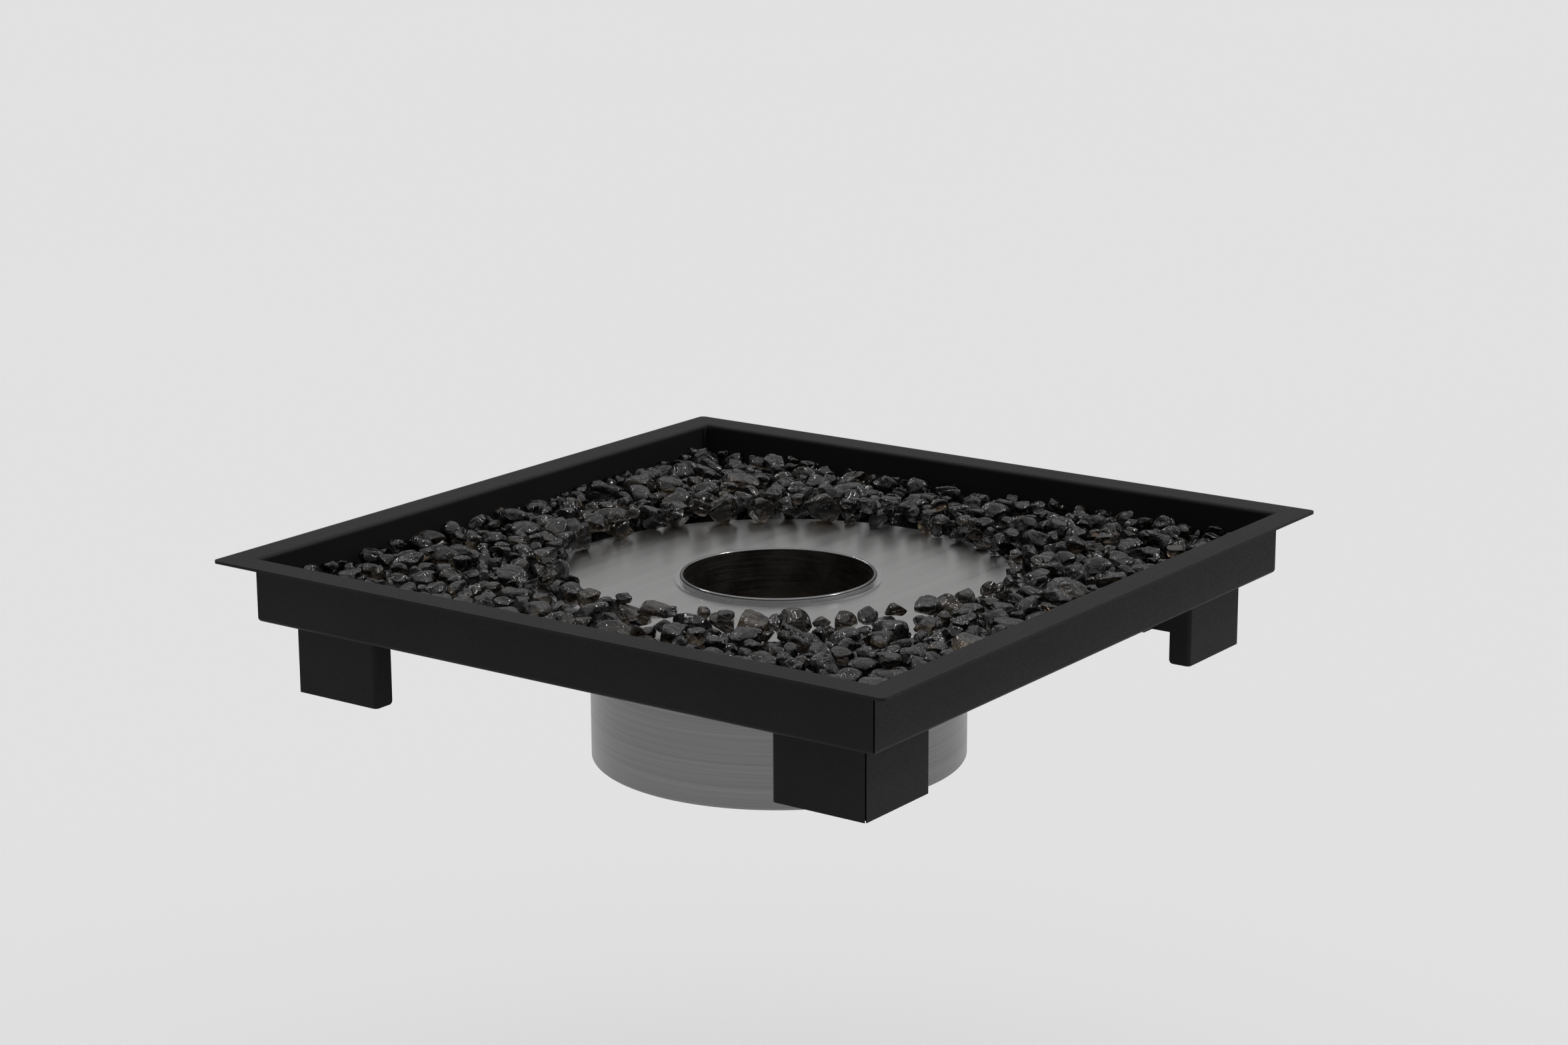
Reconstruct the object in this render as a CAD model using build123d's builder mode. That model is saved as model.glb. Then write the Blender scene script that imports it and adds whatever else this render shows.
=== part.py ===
from build123d import *
import math
import os
import random

# Square drop-in fire pit. Millimetres, +Z up. z = 0 is the surface that the flange rests on,
# on the axis of the burner. -Y is the front.

# Driving dimensions of the tray
flange_side = 560.0
body_side = 519.0
tray_depth = 43.5
sheet = 2.0
flange_corner = 4.0
bend_outside = 3.0
bend_inside = 1.0
seam_gap = 1.0
seam_run = 12.0
seam_top = 3.5
relief_r = 1.4
plane_slack = 0.01

# Driving dimensions of the legs
leg_side = 480.8
leg_width = 72.3
leg_return = 16.4
leg_drop = 52.5
leg_seam_run = 8.0
foot_round = 3.0

# Driving dimensions of the rivets
rivet_r = 2.4
rivet_hole_r = 2.5
rivet_head_r = 4.5
rivet_head = 1.8
rivet_near = 16.0
rivet_far = 54.0

# Driving dimensions of the burner
plate_r = 175.0
plate_sheet = 1.5
plate_rise = 11.4
throat_inner_r = 67.5
throat_wall = 1.0
throat_bottom = -108.0
ring_wall_r = 70.3
ring_foot_r = 73.8
ring_foot = 1.4
ring_height = 4.6
ring_crest = 1.4
ring_crest_round = 1.25
ring_foot_round = 1.1
ring_groove_round = 0.4
joint_gap = 0.2
drum_r = 135.1
drum_wall = 1.2
drum_bottom = -157.2
base_recess = 4.0
tank_r = 120.0
tank_wall = 1.2
tank_bottom = -141.0
tank_round = 6.0
fibre_gap = 1.0
fibre_top = -55.0
fibre_disc_depth = 26.0
baffle_sheet = 1.0
baffle_hole_r = 3.0
baffle_pitch = 12.0
baffle_rows = 11
tab_level = -70.0
tab_width = 12.0
tab_reach = 9.0
tab_drop = 12.0
standoff_r = 8.0
standoff_circle_r = 90.0
standoff_count = 3
screw_r = 2.0
screw_socket_r = 1.5
screw_head_r = 3.8
screw_head = 2.2
screw_length = 8.0

# Driving dimensions of the hole for the burner and of the glass
hole_r = 138.0
collar_sheet = 2.0
collar_height = 6.0
bed_inner_r = 176.3
bed_depth = 21.5
bed_chamfer = 1.5
bed_gap = 0.3
pocket_r = 6.0
pocket_height = 3.0
stone_pitch = 24.0
stone_jitter = 6.5
stone_gap = 0.7
stone_low = 6.0
stone_high = 12.5
stone_lean = 0.38
shortest_side = 2.5
smallest_span = 9.0
rim_stone_count = 37
rim_stone_shuffle = 0.3
rim_stone_middle = (154.0, 169.0)
rim_stone_inner = (139.0, 162.0)
rim_stone_outer = 174.3
rim_stone_facet = 5.0
rim_stone_low = 11.0
rim_stone_high = 18.0
stone_levels = ((0.86, 0.0), (1.0, 0.38), (0.60, 1.0))
stone_cut = 0.9
stone_seed = 29

# Sizes worked out from those
inner_side = body_side - 2 * sheet
floor_top = -tray_depth + sheet
plate_top = floor_top + plate_rise
plate_under = plate_top - plate_sheet
throat_outer_r = throat_inner_r + throat_wall
leg_top = -tray_depth
leg_bottom = leg_top - leg_drop
leg_half = leg_side / 2
bed_top = floor_top + bed_depth
bed_side = inner_side - 2 * bed_gap
tank_floor = tank_bottom + tank_wall
baffle_top = tank_floor + fibre_disc_depth + baffle_sheet
base_top = drum_bottom + base_recess + plate_sheet
corner_turns = (45, 135, 225, 315)
leg_corners = {
    "leg_front_left": (-1, -1),
    "leg_front_right": (1, -1),
    "leg_back_left": (-1, 1),
    "leg_back_right": (1, 1),
}
near = leg_half - rivet_near
far = leg_half - rivet_far
rivet_points = [
    (sx * x, sy * y) for sx, sy in leg_corners.values() for x, y in ((near, near), (near, far), (far, near))
]

finished = []


def finish(shape, label):
    """Names a finished piece and keeps it for writing out."""
    shape.label = label
    finished.append(shape)


def at_height(shape, height):
    """The straight edges that lie at one height."""
    lying = shape.edges().filter_by(GeomType.LINE)
    return lying.filter_by_position(Axis.Z, height - plane_slack, height + plane_slack)


def longest_at(shape, height):
    """The longest edge that lies at one height."""
    lying = shape.edges().filter_by_position(Axis.Z, height - plane_slack, height + plane_slack)
    return lying.sort_by(SortBy.LENGTH)[-1]


# Tray: floor, walls and out-turned flange of one folded sheet
with BuildPart() as tray_shell:
    with BuildSketch(Plane.XY.offset(-tray_depth)):
        Rectangle(body_side, body_side)
    extrude(amount=tray_depth)
    fillet(tray_shell.edges().group_by(Axis.Z)[0], bend_outside)
    with BuildSketch(Plane.XY):
        RectangleRounded(flange_side, flange_side, flange_corner)
    extrude(amount=sheet)
    with BuildSketch(Plane.XY.offset(floor_top)):
        Rectangle(inner_side, inner_side)
    extrude(amount=tray_depth, mode=Mode.SUBTRACT)
    fillet(at_height(tray_shell, floor_top), bend_inside)
    fillet(at_height(tray_shell, sheet).group_by(SortBy.LENGTH)[0], bend_outside)
    fillet(at_height(tray_shell, 0).group_by(SortBy.LENGTH)[0], bend_inside)
    # open corner seams, each ending in a round relief under the flange
    with BuildSketch(Plane.XY.offset(-tray_depth)):
        with PolarLocations(body_side / math.sqrt(2), len(corner_turns), start_angle=corner_turns[0]):
            Rectangle(seam_run, seam_gap)
    extrude(amount=tray_depth - seam_top, mode=Mode.SUBTRACT)
    for turn in corner_turns:
        outward = Vector(1, 0, 0).rotate(Axis.Z, turn)
        corner = outward * (body_side / math.sqrt(2)) + Vector(0, 0, -seam_top)
        with BuildSketch(Plane(origin=corner, z_dir=outward)):
            Circle(relief_r)
        extrude(amount=seam_run / 2, both=True, mode=Mode.SUBTRACT)
    # collar and hole for the burner
    with BuildSketch(Plane.XY.offset(floor_top)):
        Circle(hole_r + collar_sheet)
    extrude(amount=collar_height)
    with BuildSketch(Plane.XY.offset(-tray_depth)):
        Circle(hole_r)
        with Locations(*rivet_points):
            Circle(rivet_hole_r)
    extrude(amount=tray_depth, mode=Mode.SUBTRACT)
finish(tray_shell.part, "tray_shell")

# Legs: each is a top plate with two faces folded down and a return on each face
for leg_name, (sx, sy) in leg_corners.items():
    corner_x, corner_y = sx * leg_half, sy * leg_half
    free_x, free_y = corner_x - sx * leg_width, corner_y - sy * leg_width
    plate_centre = ((corner_x + free_x) / 2, (corner_y + free_y) / 2)
    with BuildPart() as leg:
        with BuildSketch(Plane.XY.offset(leg_top)):
            with Locations(plate_centre):
                Rectangle(leg_width, leg_width)
        extrude(amount=-leg_drop)
        upright = leg.edges().filter_by(Axis.Z)
        fillet(upright.sort_by_distance((corner_x, corner_y, 0))[1:3], bend_outside)
        # the hollow between the faces and their returns
        with BuildSketch(Plane.XY.offset(leg_top - sheet)):
            with Locations(plate_centre):
                Rectangle(leg_width - 2 * sheet, leg_width - 2 * sheet)
        extrude(amount=-leg_drop, mode=Mode.SUBTRACT)
        # the open inner sides, up to the end of each return
        open_x = corner_x - sx * leg_return
        open_y = corner_y - sy * leg_return
        with BuildSketch(Plane.XY.offset(leg_top - sheet)):
            with Locations(((open_x + free_x - sx * sheet) / 2, (open_y + free_y - sy * sheet) / 2)):
                Rectangle(abs(open_x - free_x) + sheet, abs(open_y - free_y) + sheet)
        extrude(amount=-leg_drop, mode=Mode.SUBTRACT)
        # rounded lower corners of the returns
        ends = leg.edges().group_by(Axis.Z)[0].filter_by(lambda edge: abs(edge.length - sheet) < plane_slack)
        fillet(ends, foot_round)
        # open seam where the two faces meet
        with BuildSketch(Plane.XY.offset(leg_bottom)):
            with Locations(Location((corner_x, corner_y, 0), (0, 0, math.degrees(math.atan2(sy, sx))))):
                Rectangle(leg_seam_run, seam_gap)
        extrude(amount=leg_drop - sheet, mode=Mode.SUBTRACT)
        with BuildSketch(Plane.XY.offset(leg_top)):
            with Locations(*[(x, y) for x, y in rivet_points if x * sx > 0 and y * sy > 0]):
                Circle(rivet_hole_r)
        extrude(amount=-sheet, mode=Mode.SUBTRACT)
    finish(leg.part, leg_name)

# Rivets: a domed head on the tray's floor, a shank and a formed tail under the leg's plate
with BuildPart() as leg_rivets:
    for level, radius, height in (
        (floor_top, rivet_head_r, rivet_head),
        (leg_top - sheet, rivet_r, 2 * sheet),
        (leg_top - sheet, rivet_head_r, -rivet_head),
    ):
        with BuildSketch(Plane.XY.offset(level)):
            with Locations(*rivet_points):
                Circle(radius)
        extrude(amount=height)
    fillet(leg_rivets.edges().group_by(Axis.Z)[-1], rivet_head / 2)
    fillet(leg_rivets.edges().group_by(Axis.Z)[0], rivet_head / 2)
finish(leg_rivets.part, "leg_rivets")

# Glass bed: the buried stones, with room for the rivet heads and the burner
with BuildPart() as glass_bed:
    with BuildSketch(Plane.XY.offset(floor_top)):
        Rectangle(bed_side, bed_side)
    extrude(amount=bed_depth)
    chamfer(glass_bed.edges().group_by(Axis.Z)[0], bed_chamfer)
    with BuildSketch(Plane.XY.offset(floor_top)):
        Circle(bed_inner_r)
    extrude(amount=bed_depth, mode=Mode.SUBTRACT)
    with BuildSketch(Plane.XY.offset(floor_top)):
        with Locations(*rivet_points):
            Circle(pocket_r)
    extrude(amount=pocket_height, mode=Mode.SUBTRACT)
finish(glass_bed.part, "glass_bed")

# Burner plate: a disc with a turned-down rim that stands on the tray's floor
with BuildPart() as top_plate:
    with BuildSketch(Plane.XZ):
        with BuildLine():
            Polyline(
                (throat_outer_r + joint_gap, plate_top),
                (plate_r, plate_top),
                (plate_r, floor_top),
                (plate_r - plate_sheet, floor_top),
                (plate_r - plate_sheet, plate_under),
                (throat_outer_r + joint_gap, plate_under),
                close=True,
            )
        make_face()
    revolve(axis=Axis.Z)
    fillet(longest_at(top_plate, plate_top), bend_outside)
    fillet(longest_at(top_plate, plate_under), bend_outside - plate_sheet)
finish(top_plate.part, "top_plate")

# Mouth ring: a foot on the plate and a wall whose crest hooks over the throat
with BuildPart() as mouth_ring:
    with BuildSketch(Plane.XZ) as ring_profile:
        with BuildLine():
            Polyline(
                (throat_outer_r + joint_gap, plate_top),
                (ring_foot_r, plate_top),
                (ring_foot_r, plate_top + ring_foot),
                (ring_wall_r, plate_top + ring_foot),
                (ring_wall_r, plate_top + ring_height),
                (throat_inner_r, plate_top + ring_height),
                (throat_inner_r, plate_top + ring_height - ring_crest),
                (throat_outer_r + joint_gap, plate_top + ring_height - ring_crest),
                close=True,
            )
        make_face()
        rows = ring_profile.vertices().group_by(Axis.Y)
        fillet(rows[-1], ring_crest_round)
        fillet(rows[1].sort_by(Axis.X)[-1], ring_foot_round)
        fillet(rows[1].sort_by(Axis.X)[0], ring_groove_round)
    revolve(axis=Axis.Z)
finish(mouth_ring.part, "mouth_ring")

# Throat: the sleeve in which the flame stands
throat_height = plate_top + ring_height - ring_crest - joint_gap / 2 - throat_bottom
with BuildPart() as throat:
    with BuildSketch(Plane.XY.offset(throat_bottom)):
        Circle(throat_outer_r)
        Circle(throat_inner_r, mode=Mode.SUBTRACT)
    extrude(amount=throat_height)
finish(throat.part, "throat")

# Drum: the brushed outer casing, open at both ends
with BuildPart() as drum_shell:
    with BuildSketch(Plane.XY.offset(drum_bottom)):
        Circle(drum_r)
        Circle(drum_r - drum_wall, mode=Mode.SUBTRACT)
    extrude(amount=plate_under - drum_bottom)
    fillet(longest_at(drum_shell, drum_bottom), drum_wall / 3)
finish(drum_shell.part, "drum_shell")

# Casing floor: a shallow pan set up inside the drum, with holes for its screws
with BuildPart() as drum_base:
    with BuildSketch(Plane.XY.offset(drum_bottom + joint_gap)):
        Circle(drum_r - drum_wall - joint_gap)
    extrude(amount=base_top - drum_bottom - joint_gap)
    with BuildSketch(Plane.XY.offset(drum_bottom)):
        Circle(drum_r - drum_wall - joint_gap - plate_sheet)
    extrude(amount=base_recess, mode=Mode.SUBTRACT)
    fillet(drum_base.edges().group_by(Axis.Z)[-1], plate_sheet)
    with BuildSketch(Plane.XY.offset(drum_bottom)):
        with PolarLocations(standoff_circle_r, standoff_count):
            Circle(screw_r + joint_gap / 2)
    extrude(amount=base_top - drum_bottom, mode=Mode.SUBTRACT)
finish(drum_base.part, "drum_base")

# Fuel tank: an open pot that hangs from the plate, clear of the drum
with BuildPart() as fuel_tank:
    with BuildSketch(Plane.XY.offset(tank_bottom)):
        Circle(tank_r)
    extrude(amount=plate_under - tank_bottom)
    fillet(fuel_tank.edges().group_by(Axis.Z)[0], tank_round)
    offset(amount=-tank_wall, openings=fuel_tank.faces().sort_by(Axis.Z)[-1])
finish(fuel_tank.part, "fuel_tank")

# Distance pieces between the tank and the casing floor, each with a screw hole
with BuildPart() as tank_standoffs:
    with BuildSketch(Plane.XY.offset(base_top)):
        with PolarLocations(standoff_circle_r, standoff_count):
            Circle(standoff_r)
            Circle(screw_r + joint_gap / 2, mode=Mode.SUBTRACT)
    extrude(amount=tank_bottom - base_top)
finish(tank_standoffs.part, "tank_standoffs")

# Screws through the casing floor, their heads above the drum's lower edge
with BuildPart() as base_screws:
    with BuildSketch(Plane.XY.offset(drum_bottom + base_recess)):
        with PolarLocations(standoff_circle_r, standoff_count):
            Circle(screw_head_r)
    extrude(amount=-screw_head)
    fillet(base_screws.edges().group_by(Axis.Z)[0], screw_head / 2)
    with BuildSketch(Plane.XY.offset(drum_bottom + base_recess - screw_head)):
        with PolarLocations(standoff_circle_r, standoff_count):
            RegularPolygon(screw_socket_r, 6)
    extrude(amount=screw_head / 2, mode=Mode.SUBTRACT)
    with BuildSketch(Plane.XY.offset(drum_bottom + base_recess)):
        with PolarLocations(standoff_circle_r, standoff_count):
            Circle(screw_r)
    extrude(amount=screw_length)
finish(base_screws.part, "base_screws")

# Ceramic fibre: a ring round the throat and a disc under it, both inside the tank
fibre_r = tank_r - tank_wall - fibre_gap
with BuildPart() as fibre_ring:
    with BuildSketch(Plane.XY.offset(tank_floor)):
        Circle(fibre_r)
    extrude(amount=fibre_top - tank_floor)
    fillet(fibre_ring.edges().group_by(Axis.Z)[0], tank_round)
    with BuildSketch(Plane.XY.offset(tank_floor)):
        Circle(throat_outer_r + joint_gap)
    extrude(amount=fibre_top - tank_floor, mode=Mode.SUBTRACT)
finish(fibre_ring.part, "fibre_ring")

with BuildPart() as fibre_disc:
    with BuildSketch(Plane.XY.offset(tank_floor)):
        Circle(throat_inner_r)
    extrude(amount=fibre_disc_depth)
finish(fibre_disc.part, "fibre_disc")

# Baffle: the perforated plate that holds the fibre down
with BuildPart() as baffle_plate:
    with BuildSketch(Plane.XY.offset(baffle_top - baffle_sheet)):
        Circle(throat_inner_r)
        with HexLocations(baffle_pitch / 2, baffle_rows, baffle_rows) as grid:
            reach = throat_inner_r - baffle_pitch / 2
            inside = [spot for spot in grid.local_locations if spot.position.length < reach]
        with Locations(*inside):
            Circle(baffle_hole_r, mode=Mode.SUBTRACT)
    extrude(amount=baffle_sheet)
finish(baffle_plate.part, "baffle_plate")

# Fill tab: a bent strip on the throat's wall, its lip at the highest fuel level
tab_root = throat_inner_r - baffle_sheet / 2
with BuildPart() as fill_tab:
    with BuildSketch(Plane.XZ.offset(-tab_width / 2)):
        with BuildLine():
            Polyline(
                (-tab_root, tab_level - tab_drop),
                (-tab_root, tab_level),
                (-tab_root + tab_reach, tab_level),
                (-tab_root + tab_reach, tab_level - baffle_sheet),
                (-tab_root + baffle_sheet, tab_level - baffle_sheet),
                (-tab_root + baffle_sheet, tab_level - tab_drop),
                close=True,
            )
        make_face()
    extrude(amount=tab_width)
finish(fill_tab.part, "fill_tab")


def clip(outline, normal, limit):
    """Keeps the part of a convex outline that lies within the limit along the normal."""
    kept = []
    for start, end in zip(outline, outline[1:] + outline[:1]):
        from_start = limit - start.dot(normal)
        from_end = limit - end.dot(normal)
        if from_start >= 0:
            kept.append(start)
        if from_start * from_end < 0:
            kept.append(start + (end - start) * (from_start / (from_start - from_end)))
    return kept


def ground_of(site, sites, bounds):
    """The ground nearer to a site than to any other, within the bounds, as a convex outline."""
    reach = 2 * stone_pitch
    ways = ((1, 1), (-1, 1), (-1, -1), (1, -1))
    outline = [site + Vector(*way) * reach for way in ways]
    for other in sites:
        apart = other - site
        if 0 < apart.length < 2 * reach:
            normal = apart.normalized()
            outline = clip(outline, normal, site.dot(normal) + (apart.length - stone_gap) / 2)
    for normal, limit in bounds:
        outline = clip(outline, normal, limit)
    pairs = zip(outline, outline[-1:] + outline[:-1])
    return [point for point, last in pairs if (point - last).length > shortest_side]


def roomy(outline):
    """Whether an outline is large enough to hold a stone."""
    if len(outline) < 4:
        return False
    xs = [point.X for point in outline]
    ys = [point.Y for point in outline]
    return min(max(xs) - min(xs), max(ys) - min(ys)) > smallest_span


def make_stone(outline, level, height, dice):
    """A broken stone that stands on one level: faceted sides and a leaning flat top."""
    middle = sum(outline, Vector()) / len(outline)
    lean = Vector(dice.uniform(-stone_lean, stone_lean), dice.uniform(-stone_lean, stone_lean), 1)
    with BuildPart() as stone:
        for share, rise in stone_levels:
            with BuildSketch(Plane.XY.offset(level + rise * height)):
                with BuildLine():
                    Polyline(*[middle + (point - middle) * share for point in outline], close=True)
                make_face()
        loft(ruled=True)
        crown = middle + Vector(0, 0, level + height * stone_cut)
        split(bisect_by=Plane(origin=crown, z_dir=lean), keep=Keep.BOTTOM)
    return stone.part.solid()


def turn_of(point):
    """A point's direction from the burner's axis, in degrees from 0 to 360."""
    return math.degrees(math.atan2(point.Y, point.X)) % 360


# Glass stones on the bed, one group for each side of the tray
dice = random.Random(stone_seed)
half = bed_side / 2
row_pitch = stone_pitch * math.sqrt(3) / 2
sites = []
for row in range(-int(half / row_pitch), int(half / row_pitch) + 1):
    shift = stone_pitch / 2 * (row % 2)
    for place in range(-int(half / stone_pitch) - 1, int(half / stone_pitch) + 1):
        x = place * stone_pitch + shift + dice.uniform(-stone_jitter, stone_jitter)
        y = row * row_pitch + dice.uniform(-stone_jitter, stone_jitter)
        if max(abs(x), abs(y)) < half and math.hypot(x, y) > bed_inner_r:
            sites.append(Vector(x, y))

walls = [(Vector(1, 0), half), (Vector(-1, 0), half), (Vector(0, 1), half), (Vector(0, -1), half)]
groups = {"stones_right": [], "stones_back": [], "stones_left": [], "stones_front": []}
for site in sites:
    inward = site.normalized() * -1
    outline = ground_of(site, sites, walls + [(inward, -bed_inner_r)])
    if roomy(outline):
        group = list(groups)[int((turn_of(site) + 45) % 360 // 90)]
        groups[group].append(make_stone(outline, bed_top, dice.uniform(stone_low, stone_high), dice))
for group, stones in groups.items():
    finish(Compound(children=stones), group)

# Glass stones that lie on the edge of the burner's plate and lift out with it
rim_sites = []
for place in range(rim_stone_count):
    turn = 360 * (place + dice.uniform(-rim_stone_shuffle, rim_stone_shuffle)) / rim_stone_count
    rim_sites.append(Vector(dice.uniform(*rim_stone_middle), 0).rotate(Axis.Z, turn))
rim_stones = []
for site in rim_sites:
    outward = site.normalized()
    bounds = [(outward * -1, -dice.uniform(*rim_stone_inner))]
    for side in (-1, 0, 1):
        bounds.append((outward.rotate(Axis.Z, rim_stone_facet * side), rim_stone_outer))
    outline = ground_of(site, rim_sites, bounds)
    if roomy(outline):
        rim_stones.append(make_stone(outline, plate_top, dice.uniform(rim_stone_low, rim_stone_high), dice))
finish(Compound(children=rim_stones), "rim_stones")

# Every piece is written to its own file
os.makedirs("parts", exist_ok=True)
for shape in finished:
    export_step(shape, f"parts/{shape.label}.step")
    print(shape.label, len(shape.solids()), round(shape.volume))
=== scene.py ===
import math

import bmesh
import bpy
import numpy as np
from mathutils import Matrix, Vector


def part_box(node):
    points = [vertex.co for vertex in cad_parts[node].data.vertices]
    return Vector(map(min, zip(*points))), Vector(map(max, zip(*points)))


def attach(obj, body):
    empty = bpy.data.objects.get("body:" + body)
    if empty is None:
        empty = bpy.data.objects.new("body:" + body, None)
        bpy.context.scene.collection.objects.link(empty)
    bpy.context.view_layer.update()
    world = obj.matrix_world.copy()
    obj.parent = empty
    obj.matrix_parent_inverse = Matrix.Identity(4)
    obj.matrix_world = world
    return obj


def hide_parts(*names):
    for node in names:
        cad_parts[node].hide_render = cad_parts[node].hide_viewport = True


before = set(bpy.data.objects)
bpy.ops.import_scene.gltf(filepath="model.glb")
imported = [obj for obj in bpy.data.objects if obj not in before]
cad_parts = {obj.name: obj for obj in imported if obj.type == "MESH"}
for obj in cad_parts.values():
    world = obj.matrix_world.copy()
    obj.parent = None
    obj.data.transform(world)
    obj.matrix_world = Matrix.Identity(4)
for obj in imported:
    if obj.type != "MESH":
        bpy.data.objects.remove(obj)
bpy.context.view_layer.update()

# The photograph's view: lens, angles, distance and small offsets of the camera, in metres
PHOTO_WIDTH = 2352
FOCAL_PIXELS = 4990.9
SENSOR_WIDTH = 36.0
VIEW_AZIMUTH = math.radians(35.8775)
VIEW_ELEVATION = math.radians(14.3264)
VIEW_ROLL = math.radians(-0.2767)
VIEW_DISTANCE = 2.3598
VIEW_RIGHT = 0.0041136
VIEW_UP = 0.0087284

# The room: its light from the sides and from overhead, and the height where it starts to brighten
SIDE_LIGHT = 0.14
TOP_LIGHT = 0.50
BRIGHTENS_FROM = 0.25

# The lamps: a name, the direction that each lights from, its spread in degrees and its strength
LAMPS = (
    ("top_lamp", (0.1, 0.15, 1.0), 110, 1.17),
    ("right_lamp", (0.55, 0.45, 0.9), 8, 0.9),
    ("left_lamp", (-0.75, 0.1, 0.7), 6, 0.3),
    ("back_lamp", (-0.57, 0.78, 0.30), 60, 0.14),
)

# The studio floor: half its side, and how far it lies below the drum, in metres
FLOOR_REACH = 60.0
FLOOR_DROP = 0.45

# Places taken from the frame
tray_low, tray_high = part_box("tray_shell")
bed_low, bed_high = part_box("glass_bed")
leg_low, leg_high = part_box("leg_back_right")
plate_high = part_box("top_plate")[1]
drum_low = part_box("drum_shell")[0]
PLATE_R = plate_high.x
PLATE_Z = plate_high.z
BED_HALF = bed_high.x
PAN_Z = bed_low.z

# The sheet, its folded laps, the gap round the bed and the height of the ring's foot, below which the
# ring gets a painted bright reflection, in metres
SHEET = 0.002
LAP_SHEET = 0.0008
LAP_WIDTH = 0.006
BED_GAP = 0.0003
RING_FOOT = 0.0028

# The shapes of the glass stones: dents are a width and a depth, and levels say how fine a mesh is
STONE_SEED = 11
STONE_SHAPES = 48
FACETS = 13
DENTS = ((0.5, 0.08),) * 4 + ((0.26, 0.05),) * 7 + ((0.17, 0.028),) * 10
BURIED_LEVEL = 3
TRAY_LEVEL = 4
PLATE_LEVEL = 5
MOST_FACES = 190000

# Layers of stones, the first dropped first: half widths and the height that their tops stay under,
# in metres, the places tried for each stone, and how many stones may find no place
TRAY_LAYERS = (
    {"sizes": (0.0100, 0.0160), "top": tray_high.z - 0.0140, "tries": 60, "misses": 80},
    {"sizes": (0.0080, 0.0135), "top": tray_high.z - 0.0095, "tries": 90, "misses": 150},
    {"sizes": (0.0050, 0.0080), "top": tray_high.z - 0.0115, "tries": 120, "misses": 300},
    {"sizes": (0.0036, 0.0050), "top": tray_high.z - 0.0150, "tries": 150, "misses": 300},
)
RIM_LAYERS = (
    {"sizes": (0.0125, 0.0180), "top": tray_high.z - 0.0050, "tries": 10, "misses": 120},
    {"sizes": (0.0100, 0.0140), "top": tray_high.z - 0.0055, "tries": 20, "misses": 150},
    {"sizes": (0.0075, 0.0110), "top": tray_high.z - 0.0070, "tries": 40, "misses": 150},
    {"sizes": (0.0045, 0.0075), "top": tray_high.z - 0.0090, "tries": 60, "misses": 150},
)
BURIED_BELOW = PAN_Z + 0.0135

# The grid of heights under the stones, in metres: a blocked cell stops stones, an open one has no ground
CELL = 0.0015
BLOCKED = 9.0
OPEN = -9.0

# Where stones lie on the burner's plate: clear of its edge, and outside its bare part, which
# reaches to these radii, in metres, at these turns, in degrees
PLATE_GAP = 0.0009
PLATE_MARGIN = 0.001
BARE_TURNS = (27, 83, 139, 181, 223, 265, 306)
BARE_RADII = (0.166, 0.158, 0.149, 0.156, 0.153, 0.151, 0.147)


def make_camera():
    """The camera of the photograph."""
    back = Vector((
        math.sin(VIEW_AZIMUTH) * math.cos(VIEW_ELEVATION),
        -math.cos(VIEW_AZIMUTH) * math.cos(VIEW_ELEVATION),
        math.sin(VIEW_ELEVATION),
    ))
    level = Vector((math.cos(VIEW_AZIMUTH), math.sin(VIEW_AZIMUTH), 0))
    upright = back.cross(level)
    right = level * math.cos(VIEW_ROLL) + upright * math.sin(VIEW_ROLL)
    up = upright * math.cos(VIEW_ROLL) - level * math.sin(VIEW_ROLL)
    place = right * VIEW_RIGHT + up * VIEW_UP + back * VIEW_DISTANCE + Vector((0, 0, tray_high.z))
    data = bpy.data.cameras.new("photo_camera")
    data.sensor_fit = "HORIZONTAL"
    data.sensor_width = SENSOR_WIDTH
    data.lens = FOCAL_PIXELS * SENSOR_WIDTH / PHOTO_WIDTH
    camera = bpy.data.objects.new("photo_camera", data)
    turn = Matrix((right, up, back)).transposed().to_4x4()
    camera.matrix_world = Matrix.Translation(place) @ turn
    bpy.context.scene.collection.objects.link(camera)
    bpy.context.scene.camera = camera


def make_sun(name, toward, spread, strength):
    """A sun lamp that shines from a direction."""
    data = bpy.data.lights.new(name, "SUN")
    data.angle = math.radians(spread)
    data.energy = strength
    lamp = bpy.data.objects.new(name, data)
    lamp.rotation_euler = Vector(toward).to_track_quat("Z", "Y").to_euler()
    bpy.context.scene.collection.objects.link(lamp)


def make_light():
    """Studio light: a room that is brighter overhead, and lamps round about."""
    world = bpy.data.worlds.new("room")
    world.use_nodes = True
    nodes, links = world.node_tree.nodes, world.node_tree.links
    place = nodes.new("ShaderNodeTexCoord")
    parts = nodes.new("ShaderNodeSeparateXYZ")
    links.new(place.outputs["Generated"], parts.inputs[0])
    rise = nodes.new("ShaderNodeMapRange")
    rise.inputs["From Min"].default_value = BRIGHTENS_FROM
    rise.inputs["To Min"].default_value = SIDE_LIGHT
    rise.inputs["To Max"].default_value = TOP_LIGHT
    links.new(parts.outputs["Z"], rise.inputs["Value"])
    links.new(rise.outputs["Result"], nodes["Background"].inputs["Color"])
    bpy.context.scene.world = world
    for lamp in LAMPS:
        make_sun(*lamp)


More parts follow.
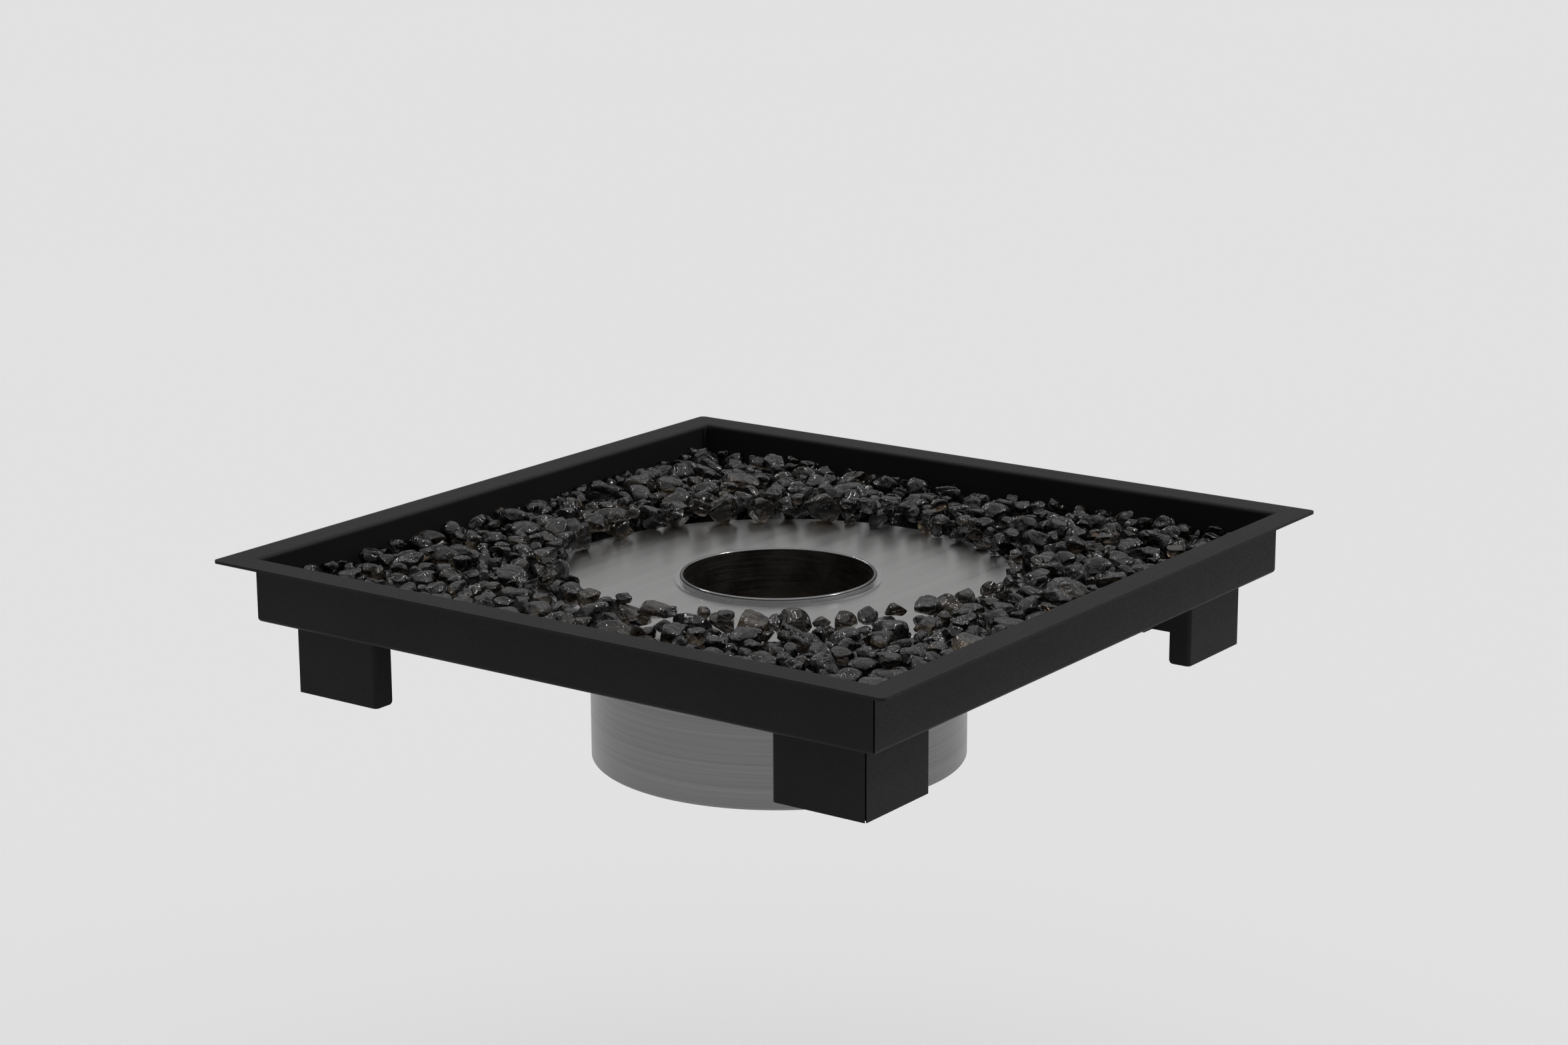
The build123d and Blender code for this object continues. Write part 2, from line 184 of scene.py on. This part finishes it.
class Nodes:
    """A material's node tree, with short ways to add and join its nodes."""

    def __init__(self, name):
        self.material = bpy.data.materials.new(name)
        self.material.use_nodes = True
        self.tree = self.material.node_tree
        self.shader = self.tree.nodes["Principled BSDF"]
        self.place = self.add("ShaderNodeTexCoord").outputs["Object"]

    def add(self, kind, links=None, **settings):
        """A new node, with its inputs linked or set, and its own settings."""
        node = self.tree.nodes.new(kind)
        for key, value in settings.items():
            setattr(node, key, value)
        for key, value in (links or {}).items():
            if isinstance(value, bpy.types.NodeSocket):
                self.tree.links.new(value, node.inputs[key])
            else:
                node.inputs[key].default_value = value
        return node

    def set(self, **values):
        """Sets or links the shader's own sockets."""
        for key, value in values.items():
            socket = self.shader.inputs[key.replace("_", " ")]
            if isinstance(value, bpy.types.NodeSocket):
                self.tree.links.new(value, socket)
            else:
                socket.default_value = value

    def stretched(self, scale):
        """The place on the object, stretched by a scale along each axis."""
        links = {"Vector": self.place, "Scale": scale}
        return self.add("ShaderNodeMapping", links).outputs["Vector"]

    def noise(self, scale, detail=4.0, roughness=0.55, vector=None):
        """Cloudy noise from 0 to 1."""
        links = {"Vector": vector or self.place, "Scale": scale, "Detail": detail}
        links["Roughness"] = roughness
        return self.add("ShaderNodeTexNoise", links).outputs["Fac"]

    def ramp(self, value, low, high, start=0.0, end=1.0):
        """A number or colour that runs from low to high as a value runs from start to end."""
        node = self.add("ShaderNodeMapRange", {"Value": value, "From Min": start, "From Max": end})
        if isinstance(low, tuple):
            return self.mix(node.outputs["Result"], (*low, 1.0), (*high, 1.0))
        node.inputs["To Min"].default_value = low
        node.inputs["To Max"].default_value = high
        return node.outputs["Result"]

    def mix(self, share, first, second):
        """A mix of two colours."""
        node = self.add("ShaderNodeMix", data_type="RGBA")
        self.tree.links.new(share, node.inputs["Factor"])
        for key, value in (("A", first), ("B", second)):
            if isinstance(value, bpy.types.NodeSocket):
                self.tree.links.new(value, node.inputs[key])
            else:
                node.inputs[key].default_value = value
        return node.outputs["Result"]

    def bump(self, height, depth, strength=1.0, normal=None):
        """A surface that rises and falls with a height, on top of another one if it is given."""
        links = {"Height": height, "Distance": depth, "Strength": strength}
        if normal is not None:
            links["Normal"] = normal
        return self.add("ShaderNodeBump", links).outputs["Normal"]


def powder_coat():
    """Black powder coat: a fine even grain with faint cloudy sheen."""
    m = Nodes("powder_coat")
    grain = m.noise(900.0, 3.0, 0.6)
    cloud = m.noise(14.0, 3.0, 0.5)
    m.set(
        Base_Color=m.ramp(cloud, (0.0095, 0.0095, 0.0096), (0.0125, 0.0125, 0.0126), 0.3, 0.7),
        Roughness=m.ramp(grain, 0.46, 0.62, 0.3, 0.7),
        Normal=m.bump(grain, 0.00025, 0.3),
        Specular_IOR_Level=0.13,
    )
    return m.material


def brushed_steel(name, scale, low, high, rough=(0.26, 0.40), depth=0.00004):
    """Brushed stainless steel whose scratches run along the axis with the smallest scale."""
    m = Nodes(name)
    lines = m.noise(1.0, 3.0, 0.7, m.stretched(scale))
    broad = m.noise(1.0, 2.0, 0.5, m.stretched(tuple(part / 12 for part in scale)))
    m.set(
        Base_Color=m.ramp(lines, low, high, 0.25, 0.75),
        Metallic=1.0,
        Roughness=m.ramp(broad, *rough, 0.3, 0.7),
        Normal=m.bump(lines, depth, 0.5),
    )
    return m.material


def drum_steel():
    """Brushed steel with scratches that run round the drum."""
    m = Nodes("drum_steel")
    lines = m.noise(1.0, 3.0, 0.75, m.stretched((3.0, 3.0, 800.0)))
    broad = m.noise(1.0, 2.0, 0.5, m.stretched((2.0, 2.0, 90.0)))
    m.set(
        Base_Color=m.ramp(lines, (0.17, 0.17, 0.17), (0.24, 0.24, 0.24), 0.25, 0.75),
        Metallic=1.0,
        Roughness=m.ramp(broad, 0.33, 0.38, 0.3, 0.7),
        Normal=m.bump(lines, 0.00003, 0.3),
    )
    return m.material


def polished_steel_painted_reflection():
    """The ring's polished steel with faint turning marks, and a painted reflection: bright colour on the
    foot, dark colour on the wall and crest.
    """
    m = Nodes("polished_steel_painted_reflection")
    marks = m.noise(1.0, 2.0, 0.5, m.stretched((60.0, 60.0, 1500.0)))
    rise = m.add("ShaderNodeSeparateXYZ", {0: m.place}).outputs["Z"]
    foot = PLATE_Z + RING_FOOT
    m.set(
        # Painted reflection: the base colour is bright below the foot's height and dark above it, for the
        # light and dark that the ring mirrors
        Base_Color=m.ramp(rise, (0.72, 0.72, 0.73), (0.20, 0.20, 0.205), foot, foot + 0.0006),
        Metallic=1.0,
        Roughness=m.ramp(marks, 0.10, 0.20, 0.3, 0.7),
    )
    return m.material


def heated_steel():
    """Steel that the flame has darkened in brownish clouds, with fine scratches."""
    m = Nodes("heated_steel")
    cloud = m.noise(38.0, 5.0, 0.6)
    fine = m.noise(1.0, 3.0, 0.6, m.stretched((30.0, 30.0, 900.0)))
    m.set(
        Base_Color=m.ramp(cloud, (0.055, 0.045, 0.038), (0.20, 0.185, 0.17), 0.3, 0.75),
        Metallic=1.0,
        Roughness=m.ramp(fine, 0.32, 0.52, 0.3, 0.7),
        Normal=m.bump(fine, 0.00005, 0.4),
    )
    return m.material


def ceramic_fibre():
    """White matted fibre."""
    m = Nodes("ceramic_fibre")
    fluff = m.noise(420.0, 6.0, 0.75)
    m.set(
        Base_Color=m.ramp(fluff, (0.52, 0.50, 0.46), (0.82, 0.80, 0.76), 0.3, 0.7),
        Roughness=m.ramp(fluff, 0.85, 1.0, 0.3, 0.7),
        Normal=m.bump(fluff, 0.0006, 0.8),
    )
    return m.material


def black_glass():
    """Black smoky glass: wavy chipped faces, with grey and brown depths that differ by stone; the stones
    on the plate's edge are skewed to the brown as a painted glow of the flame's light.
    """
    m = Nodes("black_glass")
    tone = m.add("ShaderNodeAttribute", attribute_name="stone_tone").outputs["Fac"]
    pits = m.noise(330.0, 5.0, 0.65)
    swell = {"Vector": m.place, "Scale": 95.0, "Detail": 3.0, "Distortion": 1.6}
    waves = m.add("ShaderNodeTexNoise", swell).outputs["Fac"]
    depths = m.noise(75.0, 4.0, 0.62)
    cells = m.add("ShaderNodeTexVoronoi", {"Vector": m.place, "Scale": 150.0}, feature="F1")
    dark = m.ramp(depths, (0.005, 0.005, 0.005), (0.095, 0.095, 0.092), 0.44, 0.72)
    warm = m.ramp(depths, (0.017, 0.013, 0.010), (0.175, 0.133, 0.092), 0.44, 0.72)
    broad = m.bump(waves, 0.0045, 0.5)
    fine = m.bump(pits, 0.0004, 0.25, broad)
    m.set(
        Base_Color=m.mix(m.ramp(tone, 0.0, 1.0, 0.60, 0.90), dark, warm),
        Roughness=m.ramp(pits, 0.015, 0.12, 0.45, 0.72),
        Normal=m.bump(cells.outputs["Distance"], 0.0016, 0.4, fine),
        IOR=1.45,
        Specular_IOR_Level=0.10,
        Transmission_Weight=1.0,
    )
    return m.material


def floor_paint():
    """The pale studio floor, clear from below."""
    m = Nodes("floor_paint")
    cloud = m.noise(0.7, 1.0, 0.3)
    m.set(
        Base_Color=m.ramp(cloud, (0.745, 0.745, 0.745), (0.75, 0.75, 0.75)),
        Roughness=1.0,
        Specular_IOR_Level=0.0,
    )
    sides = m.add("ShaderNodeNewGeometry").outputs["Backfacing"]
    clear = m.add("ShaderNodeBsdfTransparent").outputs["BSDF"]
    joined = m.add("ShaderNodeMixShader", {0: sides, 1: m.shader.outputs["BSDF"], 2: clear})
    m.tree.links.new(joined.outputs["Shader"], m.tree.nodes["Material Output"].inputs["Surface"])
    return m.material


def paint(material, *names):
    """Gives CAD nodes a material."""
    for name in names:
        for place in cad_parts[name].material_slots:
            place.material = material


def make_floor():
    """The pale floor, well below, since the tray hangs in a cut-out by its flange."""
    corners = [(x * FLOOR_REACH, y * FLOOR_REACH, 0) for x, y in ((-1, -1), (1, -1), (1, 1), (-1, 1))]
    mesh = bpy.data.meshes.new("floor")
    mesh.from_pydata(corners, [], [(0, 1, 2, 3)])
    mesh.materials.append(floor_paint())
    floor = bpy.data.objects.new("floor", mesh)
    floor.location.z = drum_low.z - FLOOR_DROP
    bpy.context.scene.collection.objects.link(floor)


def make_laps(name, half, low, high, material):
    """Folded laps behind the open seams of four corners, one thin angle each."""
    outline = [(0, 0), (-LAP_WIDTH, 0), (-LAP_WIDTH, -LAP_SHEET), (-LAP_SHEET, -LAP_SHEET)]
    outline += [(-LAP_SHEET, -LAP_WIDTH), (0, -LAP_WIDTH)]
    build = bmesh.new()
    for sx, sy in ((1, 1), (-1, 1), (-1, -1), (1, -1)):
        ring = [build.verts.new((sx * (half + x), sy * (half + y), low)) for x, y in outline]
        face = build.faces.new(ring)
        raised = bmesh.ops.extrude_face_region(build, geom=[face])["geom"]
        for corner in [part for part in raised if isinstance(part, bmesh.types.BMVert)]:
            corner.co.z = high
    bmesh.ops.recalc_face_normals(build, faces=build.faces)
    mesh = bpy.data.meshes.new(name)
    build.to_mesh(mesh)
    build.free()
    mesh.materials.append(material)
    piece = bpy.data.objects.new(name, mesh)
    bpy.context.scene.collection.objects.link(piece)
    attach(piece, "tray")


def sphere_points(level):
    """Points and triangles of an even sphere."""
    mesh = bmesh.new()
    bmesh.ops.create_icosphere(mesh, subdivisions=level, radius=1.0)
    points = np.array([v.co[:] for v in mesh.verts])
    faces = np.array([[v.index for v in f.verts] for f in mesh.faces])
    mesh.free()
    return points, faces


def broken_shape(points, dice):
    """A broken pebble: an uneven ball cut by random planes, with worn edges and shallow dents."""
    facing = dice.normal(size=(FACETS, 3))
    facing /= np.linalg.norm(facing, axis=1)[:, None]
    reach = dice.uniform(0.66, 1.05, FACETS)
    near = np.maximum(points @ facing.T, 1e-3) / reach
    sharp = dice.uniform(18.0, 55.0)
    size = (near ** sharp).sum(1) ** (-1 / sharp)
    size = np.minimum(size, 1.15)
    for width, depth in DENTS:
        spot = dice.normal(size=3)
        spot /= np.linalg.norm(spot)
        away = np.arccos(np.clip(points @ spot, -1, 1)) / (width * dice.uniform(0.6, 1.2))
        size -= depth * dice.uniform(0.3, 1.2) * np.exp(-(away ** 4))
    stretch = np.array([dice.uniform(1.0, 1.5), 1.0, dice.uniform(0.62, 0.9)])
    return points * size[:, None] * stretch


def random_turn(dice):
    """A random rotation that mostly lays a stone on its flat side."""
    lean = dice.normal(0.0, 0.5)
    spin, way = dice.uniform(0, 2 * math.pi, 2)
    flat = Matrix.Rotation(spin, 3, "Z")
    tip = Matrix.Rotation(lean, 3, Vector((math.cos(way), math.sin(way), 0)))
    return np.array(tip @ flat)


class Ground:
    """Heights of what carries stones, on a grid, and of what they only have to clear."""

    def __init__(self, heights, cleared=None):
        self.heights = heights
        self.cleared = cleared

    def drop(self, cloud, place):
        """How high a stone comes to rest at a place, and the cells that it covers."""
        cells = np.floor((cloud[:, :2] + place + BED_HALF) / CELL).astype(int)
        if cells.min() < 0 or cells.max() >= len(self.heights):
            return None
        flat = cells[:, 0] * len(self.heights) + cells[:, 1]
        under = self.heights.ravel()[flat]
        if under.max() >= BLOCKED:
            return None
        height = (under - cloud[:, 2]).max()
        if self.cleared is not None and (self.cleared.ravel()[flat] - cloud[:, 2]).max() > height:
            return None
        return height, flat

    def settle(self, flat, tops):
        """Raises the ground to the top of a stone that has come to rest."""
        np.maximum.at(self.heights.reshape(-1), flat, tops)


def fill(ground, shapes, dice, layer, spot, tones=(0, 1)):
    """Drops stones one by one, each at the lowest of a few random spots, until few more fit."""
    stones = []
    misses = 0
    while misses < layer["misses"]:
        size = dice.uniform(*layer["sizes"])
        shape = int(dice.integers(len(shapes)))
        turn = random_turn(dice)
        cloud = shapes[shape] @ turn.T * size
        best = None
        for _ in range(layer["tries"]):
            place = spot(dice)
            rest = ground.drop(cloud, place)
            if rest is None or rest[0] + cloud[:, 2].max() > layer["top"]:
                continue
            if best is None or rest[0] < best[0]:
                best = (*rest, place)
        if best is None:
            misses += 1
            continue
        height, flat, place = best
        ground.settle(flat, height + cloud[:, 2])
        stones.append((shape, turn, size, np.array([*place, height]), dice.uniform(*tones)))
    return stones


def bare_edge(turns):
    """How far the bare part of the burner's plate reaches, at some turns in degrees."""
    reach = np.interp(turns, BARE_TURNS, BARE_RADII, period=360)
    wave = np.radians(turns)
    return reach + 0.0025 * np.sin(9 * wave) + 0.002 * np.sin(17 * wave + 1)


def spot_in_tray(dice):
    """A random spot over the whole bed."""
    return dice.uniform(-BED_HALF, BED_HALF, 2)


def spot_on_plate(dice):
    """A random spot on the burner's plate, outside its bare part."""
    turn = dice.uniform(0, 360)
    reach = dice.uniform(bare_edge(turn), PLATE_R - PLATE_MARGIN)
    return reach * np.array([math.cos(math.radians(turn)), math.sin(math.radians(turn))])


def drop_stones(shapes, dice):
    """Stones dropped into the tray, and then stones dropped onto the edge of the plate."""
    steps = int(2 * BED_HALF / CELL)
    middles = (np.arange(steps) + 0.5) * CELL - BED_HALF
    away = np.hypot(middles[:, None], middles[None, :])
    turns = np.degrees(np.arctan2(middles[None, :], middles[:, None]))
    corner = np.minimum(np.abs(middles)[:, None], np.abs(middles)[None, :]) > BED_HALF - LAP_WIDTH
    tray = Ground(np.where(corner | (away < PLATE_R + PLATE_GAP), BLOCKED, PAN_Z))
    tray_stones = []
    for layer in TRAY_LAYERS:
        tray_stones += fill(tray, shapes, dice, layer, spot_in_tray)

    heights = np.where(away < PLATE_R, PLATE_Z, OPEN)
    cleared = np.where(away < PLATE_R, OPEN, tray.heights)
    rim = Ground(np.where(away < bare_edge(turns), BLOCKED, heights), cleared)
    rim_stones = []
    for layer in RIM_LAYERS:
        # The stones on the plate's edge take only high tones, so more of them turn brown: a painted warm
        # glow of the flame
        rim_stones += fill(rim, shapes, dice, layer, spot_on_plate, (0.5, 1.0))
    return tray_stones, rim_stones


def side_of(place):
    """The side of the tray that a place is nearest to."""
    turn = (math.degrees(math.atan2(place[1], place[0])) + 45) % 360
    return ("right", "back", "left", "front")[int(turn // 90)]


def stone_pieces(name, stones, shapes, faces, body, material, node):
    """Objects made of many stones each, that stand for one of the CAD nodes."""
    share = MOST_FACES // len(faces)
    for start in range(0, len(stones), share):
        group = stones[start:start + share]
        points = [shapes[shape] @ turn.T * size + place for shape, turn, size, place, tone in group]
        corners = np.concatenate([faces + number * len(shapes[0]) for number in range(len(group))])
        tones = np.repeat([stone[4] for stone in group], len(shapes[0]))
        mesh = bpy.data.meshes.new(name)
        mesh.from_pydata(np.concatenate(points).tolist(), [], corners.tolist())
        mesh.polygons.foreach_set("use_smooth", np.ones(len(corners), bool))
        mesh.attributes.new("stone_tone", "FLOAT", "POINT").data.foreach_set("value", tones)
        mesh.materials.append(material)
        piece = bpy.data.objects.new(f"{name}_{start // share + 1}", mesh)
        bpy.context.scene.collection.objects.link(piece)
        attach(piece, body)
        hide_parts(node)


def make_glass():
    """All the glass stones: those in the tray and those on the edge of the burner's plate."""
    dice = np.random.default_rng(STONE_SEED)
    seeds = dice.integers(1 << 30, size=STONE_SHAPES)
    levels = {}
    for level in (BURIED_LEVEL, TRAY_LEVEL, PLATE_LEVEL):
        points, faces = sphere_points(level)
        levels[level] = ([broken_shape(points, np.random.default_rng(seed)) for seed in seeds], faces)
    tray_stones, rim_stones = drop_stones(levels[TRAY_LEVEL][0], dice)
    glass = black_glass()
    for side in ("right", "back", "left", "front"):
        near = [stone for stone in tray_stones if side_of(stone[3]) == side]
        upper = [stone for stone in near if stone[3][2] >= BURIED_BELOW]
        lower = [stone for stone in near if stone[3][2] < BURIED_BELOW]
        stone_pieces(f"glass_{side}", upper, *levels[TRAY_LEVEL], "tray", glass, f"stones_{side}")
        stone_pieces(f"buried_glass_{side}", lower, *levels[BURIED_LEVEL], "tray", glass, "glass_bed")
    stone_pieces("glass_on_plate", rim_stones, *levels[PLATE_LEVEL], "burner", glass, "rim_stones")


make_camera()
make_light()
make_floor()

black_coat = powder_coat()
plate_steel = brushed_steel(
    "plate_steel",
    scale=(700.0, 9.0, 9.0),
    low=(0.51, 0.507, 0.503),
    high=(0.565, 0.562, 0.558),
    rough=(0.27, 0.32),
    depth=0.00002,
)
plain_steel = brushed_steel(
    "plain_steel",
    scale=(7.0, 500.0, 7.0),
    low=(0.38, 0.38, 0.385),
    high=(0.52, 0.52, 0.53),
)
paint(black_coat, "tray_shell", "leg_rivets")
paint(black_coat, "leg_front_left", "leg_front_right", "leg_back_left", "leg_back_right")
paint(plate_steel, "top_plate")
paint(drum_steel(), "drum_shell")
paint(polished_steel_painted_reflection(), "mouth_ring")
paint(heated_steel(), "throat", "baffle_plate", "fill_tab")
paint(plain_steel, "drum_base", "fuel_tank", "tank_standoffs", "base_screws")
paint(ceramic_fibre(), "fibre_ring", "fibre_disc")

make_laps("tray_seam_laps", BED_HALF + BED_GAP, PAN_Z, -LAP_SHEET, black_coat)
make_laps("leg_seam_laps", leg_high.x - SHEET, leg_low.z + LAP_SHEET, tray_low.z - SHEET, black_coat)
make_glass()

bpy.context.scene.view_settings.view_transform = "Standard"
